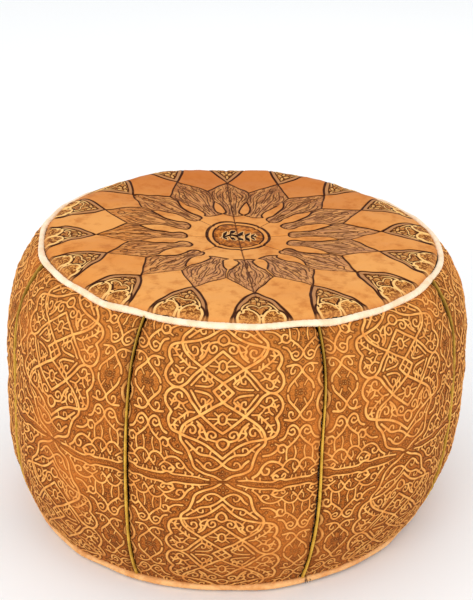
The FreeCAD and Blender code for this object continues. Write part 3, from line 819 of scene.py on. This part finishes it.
def side_leather(i, field, paint):
    """A side panel: stuffed, sewn along its edges, and embossed."""
    z, length = even_heights(SIDE_ROWS)
    z = z[:, None]
    start = FIRST_WELT + (i - 1) * SECTOR
    base = side_radius(z)
    left = start + (seam_wander(length, i)[:, None] + 0.4) / base
    right = start + SECTOR + (seam_wander(length, i % PANELS + 1)[:, None] - 0.4) / base
    share = np.linspace(0, 1, SIDE_COLUMNS)[None] + 0 * z
    angle = left + (right - left) * share
    out, edge, rim = side_surface(i, angle, z, length, share)
    gap, plate = printed_pattern(i, field, angle, z, length)
    out = out - 0.4 * np.exp(-((plate / 0.9) ** 2))
    out = out + 0.7 * soft_step(-gap, -0.6, 0.5) - 0.25 * np.exp(-(((gap - 1.0) / 0.6) ** 2))
    skin = polar(base, angle, z)
    points = settled(skin + normals_of(skin) * out[..., None])
    obj = piece(f"side_leather_{i}", points, grid_faces(SIDE_ROWS, SIDE_COLUMNS), paint,
                [f"side_panel_{i}"])
    # edge is the distance to the seams and rims, where the material paints shade; height also drives a
    # painted highlight high up
    paint_values(obj, relief=gap, edge=np.minimum(edge, rim + 6.5), height=z + 0 * angle, plate=plate)
    unwrap(obj, share, length[:, None] / length[-1] + 0 * angle)


TOP_ROWS, TOP_COLUMNS = 348, 258
TOP_EDGE = RIM + 0.6
# The medallion: each ring's radius and half width, and its width and depth as shares of a circle's
RINGS = ((36, 1.6), (29.5, 1.0))
MEDAL_ACROSS, MEDAL_DEEP = 0.93, 1.05


def ray_place(r, angle):
    """Where a point of the top lies in its ray: the ray's number, then across it and out from the centre."""
    number = np.round((angle - FIRST_TOP) / RAY)
    off = ((angle - FIRST_TOP) / RAY - number) * RAY
    wobble = 0.6 * lumps(r * np.cos(angle), r * np.sin(angle), 34, 31)
    across, outward = r * np.sin(off), r * np.cos(off) + wobble
    # the front rays start further out
    front_ray = np.clip(-np.sin(FIRST_TOP + number * RAY), 0, 1) ** 2
    outward = outward - 11 * front_ray * soft_step(outward, 46, 58) * (1 - soft_step(outward, 66, 150))
    return number, across, outward, wobble


def tooling(r, angle, rays, arches, medal):
    """Distances on the top to all that is tooled into it, by the names that its material reads."""
    east, north = r * np.cos(angle), r * np.sin(angle)
    number, across, outward, wobble = ray_place(r, angle)
    half = np.abs(across + 0.5 * lumps(east, north, 27, 33) * soft_step(r, 58, 75))
    sideways = np.abs(np.cos(FIRST_TOP + number * RAY)) > 0.55
    ray_lines, ray, strand = (np.where(sideways, finger.at(half, outward), flared.at(half, outward))
                              for flared, finger in zip(*rays))
    arch_lines, arch, lobe = (field.at(half, outward) for field in arches)
    oval = np.hypot(east / MEDAL_ACROSS, north / MEDAL_DEEP)
    rings = np.minimum(*(np.abs(oval - radius - wobble) - half_width for radius, half_width in RINGS))
    lines = np.where(r < 48, np.minimum(REACH, rings), np.minimum(ray_lines, arch_lines))
    flow = np.stack([across * (1.0 - 0.0012 * r), outward * 0.16, number * 9.0], -1) * MM
    return {"lines": lines, "ray": ray, "strand": strand, "arch": arch, "lobe": lobe, "oval": oval,
            "motif": medal.at(east, north), "flow": flow}


def top_height(r, angle, side, marks):
    """Height of the top: dome, quilted sectors, dents, edges rolled in by the stitches, and the tooling."""
    east, north = r * np.cos(angle), r * np.sin(angle)
    seam, rim = side * r, TOP_EDGE - r
    z = crown_height(r, angle)
    z += 1.3 * np.sin(np.clip(side / SECTOR, 0, 0.5) * math.pi) * soft_step(r, 40, 120)
    z += 0.8 * lumps(east, north, 75, 37) * soft_step(r, 90, 160)
    z += 0.22 * lumps(east, north, 21, 41)
    z -= 0.9 * np.exp(-((seam / 1.5) ** 2))
    gather = stitch_pull(angle * RIM, 8.0, 2)
    z -= 3.6 * np.exp(-((rim / 2.6) ** 1.7)) + 0.8 * gather * np.exp(-rim / 9)
    z -= 0.5 * soft_step(-marks["lines"], -0.5, 0.4)
    z -= 0.3 * soft_step(-marks["strand"], -0.5, 0.3) * (marks["ray"] < 0)
    z -= 0.3 * soft_step(-marks["ray"], -0.2, 0.8)
    z += 0.45 * soft_step(-marks["lobe"], -0.2, 0.9) * (marks["arch"] < -3)
    return z


def top_leather(i, rays, arches, medal, paint):
    """A top panel: an eighth of the round top with its part of the tooling."""
    start = FIRST_TOP + (i - 1) * SECTOR
    r = np.linspace(0.5, TOP_EDGE, TOP_ROWS)[:, None]
    angle = start + SECTOR * np.linspace(0, 1, TOP_COLUMNS)[None] + 0 * r
    r = r + 0 * angle
    side = np.minimum(angle - start, start + SECTOR - angle)
    marks = tooling(r, angle, rays, arches, medal)
    points = settled(polar(r, angle, top_height(r, angle, side, marks)))
    points[..., 0] -= 3.0 * (1 - soft_step(r, 110, 205))
    obj = piece(f"top_leather_{i}", points, grid_faces(TOP_ROWS, TOP_COLUMNS), paint,
                [f"top_panel_{i}"])
    obj.data.flip_normals()
    # the seams that run to the front and back show as broader lines, and only they cross the medallion
    seam = side * r
    front = np.abs(np.cos(start + np.where(side == angle - start, 0, SECTOR))) < 0.3
    seam = np.where(front, seam, seam * 1.9 + 2 * (r < 35))
    # back marks how far towards the back a point lies, where the material paints shade
    paint_values(obj, **marks, radius=r, seam=seam, rim=TOP_EDGE - r, left=-np.cos(angle) * r / RIM,
                 back=np.sin(angle) * r / RIM)
    local = angle - start - SECTOR / 2
    unwrap(obj, 0.5 + r * np.sin(local) / (RIM * 0.8), r * np.cos(local) / (RIM + 1))


def piping_route(centre_r, centre_z, seed, angle):
    """Where a piping runs: radius and height round the rim, with the wander of hand sewing."""
    stray = sum(np.sin(k * angle + seed * k) * size for k, size in ((3, 0.7), (7, 0.6), (12, 0.6), (19, 0.5)))
    lift = sum(np.cos(k * angle + seed * k) * size for k, size in ((4, 0.5), (9, 0.6), (16, 0.5), (23, 0.4)))
    return centre_r + stray, centre_z + lift * min(1, centre_z / 30)


def piping(name, route, plump, joint, paint, replaced):
    """A sewn leather tube round a rim, which the stitches pinch from inside."""
    centre_r, _, seed = route
    count, sides = 1500, 22
    angle = np.linspace(0, TURN, count, endpoint=False)
    turn = np.linspace(0, TURN, sides, endpoint=False)[None]
    run = angle * centre_r
    uneven = 0.05 * np.sin(11 * angle + seed) + 0.04 * np.sin(27 * angle + 2 * seed)
    thick = plump * PIPE * (1 + uneven)[:, None]
    pinch = stitch_pull(run, 5.2, seed)[:, None] * 0.45 + stitch_pull(run, 13.0, seed + 1)[:, None] * 0.3
    inner = np.clip(-np.cos(turn), 0, 1)
    from_joint = ((angle - joint + math.pi) % TURN - math.pi) * centre_r
    nick = np.exp(-((from_joint / 1.1) ** 2))[:, None]
    around = thick - pinch * (0.35 + 0.65 * inner) - 0.8 * nick
    r, z = (part[:, None] for part in piping_route(*route, angle))
    height = np.maximum(z + around * np.sin(turn), 0.1)
    points = settled(polar(r + around * np.cos(turn), angle[:, None] + 0 * turn, height))
    faces = grid_faces(count, sides, wrap_rows=True, wrap_columns=True)
    obj = piece(name, points, faces, paint, [replaced])
    # crease: a dark mark at the joint, and painted shade on the inner side where the stitches pinch the
    # piping
    paint_values(obj, crease=np.clip(nick * 1.4 + 0.35 * pinch * inner + 0 * turn, 0, 1))


def seam_welt(i, paint):
    """A folded strip that stands in a side seam, with nicks where the thread holds it."""
    sides = 12
    z, length = even_heights(330)
    base = side_radius(z)
    middle = FIRST_WELT + (i - 1) * SECTOR + seam_wander(length, i) / base
    half = 0.8 + 0.5 * soft_step(SIDE_HIGH - z, 20, 190) + 0.1 * np.sin(length / 9 + i)
    proud = -2.4 * fullness(z) ** 0.5 - 0.9 - 0.35 * stitch_pull(length, SIDE_STITCH, i)
    turn = np.linspace(0, TURN, sides, endpoint=False)[None]
    angle = middle[:, None] + half[:, None] * np.cos(turn) / base[:, None]
    out = proud[:, None] + 2.2 * np.sin(turn)
    skin = polar(base[:, None] + 0 * angle, angle, z[:, None])
    strip = middle[:, None] + np.array([[-0.01, 0.0, 0.01]])
    up = normals_of(polar(base[:, None] + 0 * strip, strip, z[:, None]))[:, 1:2]
    faces = grid_faces(len(z), sides, wrap_columns=True)
    last = sides * len(z)
    faces += [list(range(sides)), list(range(last - 1, last - sides - 1, -1))]
    points = settled(skin + up * out[..., None])
    obj = piece(f"welt_leather_{i}", points, faces, paint, [f"seam_welt_{i}"])
    # crease: painted shade on the side that lies in the seam, and darker towards the top
    darker_top = 0.55 * soft_step(z, 170, 280)[:, None]
    paint_values(obj, crease=(1 - np.sin(turn)) / 2 * 0.9 + darker_top + 0 * angle)


def seam_threads(i, paint):
    """Dark slanting stitches along the left of a welt."""
    z, length = even_heights(2000)
    paths = []
    for at in np.arange(4, length[-1] - 13, SIDE_STITCH):
        spot = at + np.linspace(-1.5, 1.5, 5)
        height = np.interp(spot, length, z)
        base = side_radius(height)
        side = seam_wander(spot, i) - 2.7 - 0.5 * np.linspace(-1, 1, 5)
        angle = FIRST_WELT + (i - 1) * SECTOR + side / base
        out = base - 2.2 * fullness(height) ** 0.5 - 2.6 + 0.5 * np.cos(np.linspace(-1.4, 1.4, 5))
        paths.append(polar(out, angle, height))
    points, faces = tubes(paths, 0.34)
    piece(f"seam_thread_{i}", settled(points), faces, paint)


def loose_ends(paint):
    """Short ends of thread that hang out where the bottom piping is joined."""
    paths = []
    t = np.linspace(0, 1, 9)
    for shift, reach, drop in ((0.006, 4.0, -2.2), (0.014, 5.5, -1.2), (0.03, 3.2, -2.6)):
        angle = FIRST_WELT + shift + 0.012 * t + 0.006 * np.sin(5 * t)
        r = FOOT_R + 0.85 * PIPE + reach * t * (1 - 0.25 * t)
        paths.append(polar(r, angle, LOW_PIPE_Z + 1.0 + drop * t**2))
    points, faces = tubes(paths, 0.3)
    piece("piping_thread_ends", settled(points), faces, paint)


# --- underside ---

# Sides of the zip, by the direction in which they lie
HALVES = {-1: "front", 1: "back"}
# Distances from the middle of the zip: the edge of the slot, the row of stitches and the edge of the hem
SLOT_EDGE, ZIP_STITCHES, HEM_EDGE = 7.0, 12.0, 14.2
# Half of their lengths
SLOT_HALF, STITCH_HALF, HEM_HALF = 159.0, 160.0, 166.0


def closed_sheet(under, over):
    """Points and faces of a sheet with a lower and an upper face, joined all round."""
    rows, columns = under.shape[:2]
    faces = grid_faces(2 * rows, columns, wrap_rows=True)
    start = [row * columns for row in range(2 * rows)]
    faces += [start, [first + columns - 1 for first in reversed(start)]]
    return np.concatenate([under, over[::-1]]), faces


def bottom_leather(side, paint, node):
    """Half of the flat bottom, turned up at the rim and hemmed along the zip."""
    across = np.linspace(-1, 1, 330)[None]
    down = np.concatenate([np.linspace(0, 0.07, 36), np.linspace(0.07, 1, 85)[1:]])[:, None]
    outer = FOOT_R - 3.6
    x = outer * np.sin(across * math.pi / 2 * 0.995) + 0 * down
    slot = SLOT_EDGE * soft_step(SLOT_HALF - np.abs(x), 0.0, 3.0)
    far = np.sqrt(np.maximum(outer**2 - x**2, 0.01))
    near = np.minimum(slot + 0.15, far - 0.05)
    y = near + (far - near) * down
    r = np.hypot(x, y)
    z = 0.4 + 7.0 * soft_step(r, outer - 7, outer) ** 2
    z += 0.5 * (1 + lumps(x, y, 48, 51)) * soft_step(outer - r, 0, 20) * soft_step(y, 16, 40)
    hem = np.exp(-(((y - HEM_EDGE) / 0.9) ** 2)) * (np.abs(x) < HEM_HALF)
    furrow = np.exp(-(((y - ZIP_STITCHES) / 0.6) ** 2)) * (np.abs(x) < STITCH_HALF)
    z += 0.3 * furrow + 0.35 * hem
    under = np.stack([x, side * y, np.maximum(z - 0.25, 0.05)], -1)
    points, faces = closed_sheet(under, under + np.array([0, 0, 1.9]))
    obj = piece(f"bottom_leather_{HALVES[side]}", points, faces, paint, [node])
    # crease: painted shade along the hem's edge and in the furrow of the stitches
    crease = np.clip(hem + 0.5 * furrow, 0, 1)
    paint_values(obj, crease=np.concatenate([crease, crease[::-1]]))


def zip_stitches(side, paint):
    """The row of machine stitches that holds the hem to the zip tape."""
    t = np.linspace(-1, 1, 5)
    paths = [np.stack([x + 1.3 * t, 0 * t + side * ZIP_STITCHES, 0.45 - 0.17 * (1 - t**2)], 1)
             for x in np.arange(2 - STITCH_HALF, STITCH_HALF - 1, 3.4)]
    points, faces = tubes(paths, 0.22)
    piece(f"zip_stitches_{HALVES[side]}", points, faces, paint)


def zip_tape(side, paint, node):
    """A woven tape with fine ribs both ways."""
    low, high = box(node)
    x = np.linspace(low[0], high[0], 640)[None]
    y = np.linspace(low[1], high[1], 22)[:, None]
    ribs = 0.05 * np.cos(TURN * x / 1.2) + 0.04 * np.cos(TURN * y / 1.5)
    under = np.stack(np.broadcast_arrays(x, y, low[2] + 0.1 + ribs), -1)
    over = np.stack(np.broadcast_arrays(x, y, high[2] - 0.1 - ribs), -1)
    points, faces = closed_sheet(under, over)
    piece(f"woven_tape_{HALVES[side]}", points, faces, paint, [node])


def zip_coil(side, paint, node):
    """A nylon filament wound into a row of teeth."""
    low, high = box(node)
    pitch, thick = 1.4, 0.34
    turns = int((high[0] - low[0] - 2 * thick) / pitch)
    t = np.arange(turns * 14 + 1) / 14
    x = low[0] + thick + t * pitch
    y = (low[1] + high[1]) / 2 + ((high[1] - low[1]) / 2 - thick) * np.cos(TURN * t)
    z = (low[2] + high[2]) / 2 + ((high[2] - low[2]) / 2 - thick) * np.sin(TURN * t)
    points, faces = tube(np.stack([x, y, z], 1), thick, 7, up=(1, 0, 0.01))
    piece(f"coil_teeth_{HALVES[side]}", points, faces, paint, [node])


# --- inside ---

def twisted_cord(name, node, route, paint):
    """Three cotton strands laid round the rim, inside the piping."""
    low, high = box(node)
    thick = (high[2] - low[2]) / 2 * 0.85
    angle = np.linspace(0, TURN, 1400, endpoint=False)
    radius, height = piping_route(*route, angle)
    paths = []
    for strand in range(3):
        lay = angle * 90 + strand * TURN / 3
        paths.append(polar(radius + thick * 0.5 * np.cos(lay), angle, height + thick * 0.5 * np.sin(lay)))
    points, faces = tubes(paths, thick * 0.5, 7, closed=True)
    piece(name, settled(points), faces, paint, [node])


def stuffed_body(name, node, paint, rough, seed, inset):
    """A lumpy closed body that keeps inside its CAD solid and under the sewn seams."""
    low, high = box(node)
    rows, columns = 150, 240
    turn = np.linspace(0, TURN, columns, endpoint=False)[None]
    t = np.linspace(0.004, 0.996, rows)[:, None]
    level = low[2] + (high[2] - low[2] - 1.4 * inset) * (1 - np.cos(t * math.pi)) / 2
    round_off = (1 - np.abs(np.cos(t * math.pi)) ** 9) ** 0.5
    r = high[0] * round_off * side_radius(level) / WIDEST
    bumps = lumps(turn * 200, level, 55, seed) + 0.6 * lumps(turn * 200, level, 18, seed + 1)
    r = np.minimum(r * 0.985, r - inset + rough * bumps)
    r, turn = np.maximum(r, 0.5) + 0 * turn, turn + 0 * level
    # the groove underneath that clears the zip
    x, y = np.abs(r * np.cos(turn)), np.abs(r * np.sin(turn))
    groove = (1 - soft_step(x, 170, 190)) * (1 - soft_step(y, 20, 38))
    level = np.maximum(level, low[2] + 8.0 * groove)
    points = settled(polar(r, turn, level))
    faces = grid_faces(rows, columns, wrap_columns=True)
    last = (rows - 1) * columns
    faces += [list(range(columns))[::-1], list(range(last, last + columns))]
    piece(name, points, faces, paint, [node])


# --- stage ---

def camera():
    """The view from the front and above that shows the whole pouf, a little low in the frame."""
    elevation, distance, target = math.radians(25.67), 1.5, 0.15
    data = bpy.data.cameras.new("camera")
    data.sensor_fit = "HORIZONTAL"
    data.sensor_width = 36.0
    data.lens = 102.2
    data.shift_x = 0.0165
    data.shift_y = 0.138
    obj = bpy.data.objects.new("camera", data)
    obj.location = (0, -distance * math.cos(elevation), target + distance * math.sin(elevation))
    obj.rotation_euler = (math.pi / 2 - elevation, 0, 0)
    bpy.context.scene.collection.objects.link(obj)
    bpy.context.scene.camera = obj


def lamp(name, place, size, power, colour=(1, 1, 1)):
    """A soft round lamp that faces the pouf's middle."""
    data = bpy.data.lights.new(name, "AREA")
    data.shape = "DISK"
    data.size = size
    data.energy = power
    data.color = colour
    obj = bpy.data.objects.new(name, data)
    obj.location = place
    way = np.array([0, 0, 0.15]) - np.array(place)
    obj.rotation_euler = (math.atan2(math.hypot(way[0], way[1]), -way[2]), 0, math.atan2(-way[0], way[1]))
    bpy.context.scene.collection.objects.link(obj)


def stage():
    """A pale floor in soft white studio light."""
    mesh = bpy.data.meshes.new("floor")
    far = 30.0
    mesh.from_pydata([(-far, -far, 0), (far, -far, 0), (far, far, 0), (-far, far, 0)], [], [(0, 1, 2, 3)])
    floor = bpy.data.objects.new("floor", mesh)
    bpy.context.scene.collection.objects.link(floor)
    p = Paint("pale_floor", {"Roughness": 0.7, "Specular IOR Level": 0.1})
    mesh.materials.append(p.finish(p.mix(p.noise(900, 1), (0.93, 0.945, 0.955, 1), (0.94, 0.955, 0.965, 1))))
    world = bpy.data.worlds.new("studio")
    world.use_nodes = True
    sky = world.node_tree.nodes["Background"].inputs
    sky["Color"].default_value = (1, 1, 1, 1)
    sky["Strength"].default_value = 1.0
    bpy.context.scene.world = world
    bpy.context.scene.view_settings.view_transform = "Standard"
    lamp("key", (-1.2, -2.3, 1.1), 1.8, 24, (1.0, 0.98, 0.95))
    lamp("fill", (2.0, -1.6, 0.8), 2.0, 10)
    lamp("back", (0.3, 2.2, 1.5), 1.6, 3)


TOP_ROUTE, LOW_ROUTE = (TOP_PIPE_R, TOP_PIPE_Z, 1.3), (FOOT_R, LOW_PIPE_Z, 4.1)


def build_cover(thread):
    side_map, arches, medal = side_field(), arch_fields(), medal_field()
    rays = ray_fields(FLARED_RAY), ray_fields(FINGER_RAY)
    side_paint, top_paint = side_leather_paint(), top_leather_paint()
    cream = plain_leather_paint("cream_leather", rgb(250, 227, 197), rgb(242, 208, 170), 0.55)
    # painted shade: the bottom piping's leather is a darker, pinker copy of the cream leather, as that piping
    # lies in shade
    shaded_cream = plain_leather_paint("shaded_cream_leather", rgb(240, 184, 122), rgb(220, 152, 88), 0.55)
    olive = plain_leather_paint("olive_leather", rgb(216, 170, 64), rgb(182, 138, 44), 0.5)
    for i in range(1, PANELS + 1):
        side_leather(i, side_map, side_paint)
        top_leather(i, rays, arches, medal, top_paint)
        seam_welt(i, olive)
        seam_threads(i, thread)
    piping("cream_piping", TOP_ROUTE, 0.82, 2.4, cream, "top_piping")
    # the bottom piping wears the shaded copy of the cream leather
    piping("shaded_cream_piping", LOW_ROUTE, 0.9, FIRST_WELT + 0.02, shaded_cream, "bottom_piping")


def build_underside(thread):
    brown = plain_leather_paint("bottom_leather", rgb(142, 90, 50), rgb(126, 77, 41), 0.68)
    tape_cloth = fabric_paint("tape_cloth", rgb(110, 76, 48), rgb(60, 38, 22), 0.6)
    brass, nylon = brass_paint(), nylon_paint()
    for side, node in HALVES.items():
        bottom_leather(side, brown, f"bottom_panel_{node}")
        zip_stitches(side, thread)
        zip_tape(side, tape_cloth, f"zip_tape_{node}")
        zip_coil(side, nylon, f"zip_coil_{node}")
    for node in ("zip_top_stop", "zip_bottom_stop", "zip_slider", "zip_pull"):
        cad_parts[node].data.materials.clear()
        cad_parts[node].data.materials.append(brass)
    loose_ends(thread)


def build_inside():
    cotton = thread_paint("cotton_strand", rgb(230, 222, 200), rgb(190, 178, 150))
    bag_cloth = fabric_paint("bag_cloth", rgb(232, 224, 206), rgb(196, 184, 160), 0.8)
    fluff = fabric_paint("shredded_cotton", rgb(214, 210, 202), rgb(168, 160, 150), 1.6)
    twisted_cord("top_cord", "top_piping_cord", TOP_ROUTE, cotton)
    twisted_cord("bottom_cord", "bottom_piping_cord", LOW_ROUTE, cotton)
    stuffed_body("cotton_bag", "inner_bag", bag_cloth, 0.8, 61, 9.0)
    stuffed_body("cotton_filling", "filling", fluff, 2.0, 67, 11.0)


def build():
    camera()
    stage()
    thread = thread_paint("dark_thread", rgb(72, 46, 20), rgb(30, 18, 8))
    build_cover(thread)
    build_underside(thread)
    build_inside()


build()
